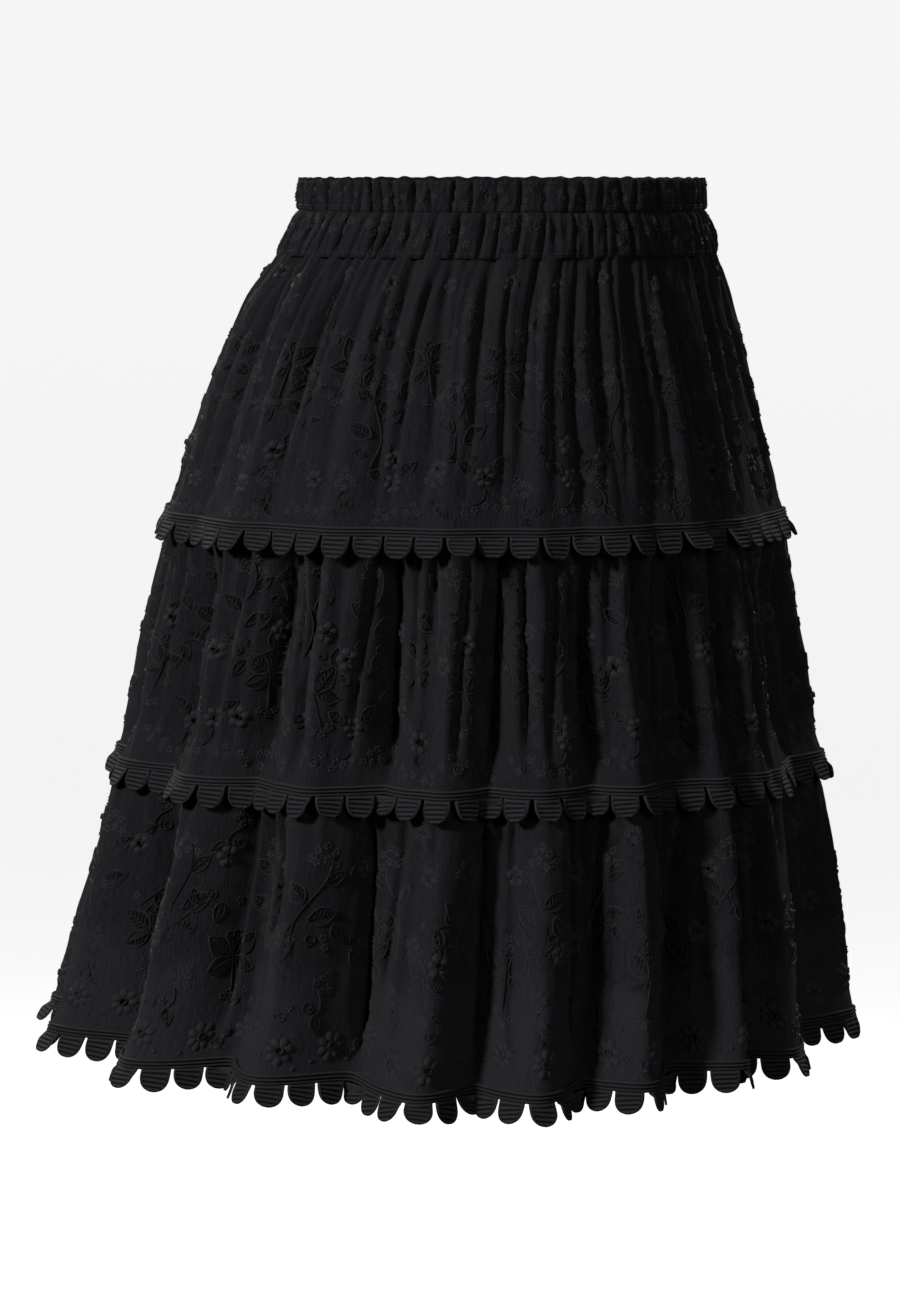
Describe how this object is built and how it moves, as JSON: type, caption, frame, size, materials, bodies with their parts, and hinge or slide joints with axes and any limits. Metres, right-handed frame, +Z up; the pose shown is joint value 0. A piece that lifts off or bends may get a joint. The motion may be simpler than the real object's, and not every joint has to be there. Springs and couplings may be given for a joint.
{
  "type": "embroidered mini skirt",
  "caption": "Black tiered mini skirt, worn form: gathered elastic waistband, gathered tiers that flare to the hem, and scalloped corded trim on the tier seams and hem.",
  "frame": {"origin": "middle of the waist opening, at the height of the waistband's channel seam, where the wearer's waist holds the skirt", "axes": "+Z up, the front of the skirt faces -Y, +X is the viewer's right of a person who looks at the front"},
  "size_m": [0.4532, 0.4469, 0.4723],
  "materials": {
    "cloth": "matt woven cotton with tone-on-tone embroidery",
    "waistband_cloth": "the same cloth, puckered over elastic",
    "lace_trim": "corded trim with a slight lustre"
  },
  "bodies": {
    "root": {"waistband": "waistband_cloth", "tier_1_front": "cloth", "tier_1_back": "cloth", "tier_2_front": "cloth", "tier_2_back": "cloth", "tier_3_front": "cloth", "tier_3_back": "cloth", "trim_1": "lace_trim", "trim_2": "lace_trim", "trim_hem": "lace_trim"}
  },
  "joints": []
}
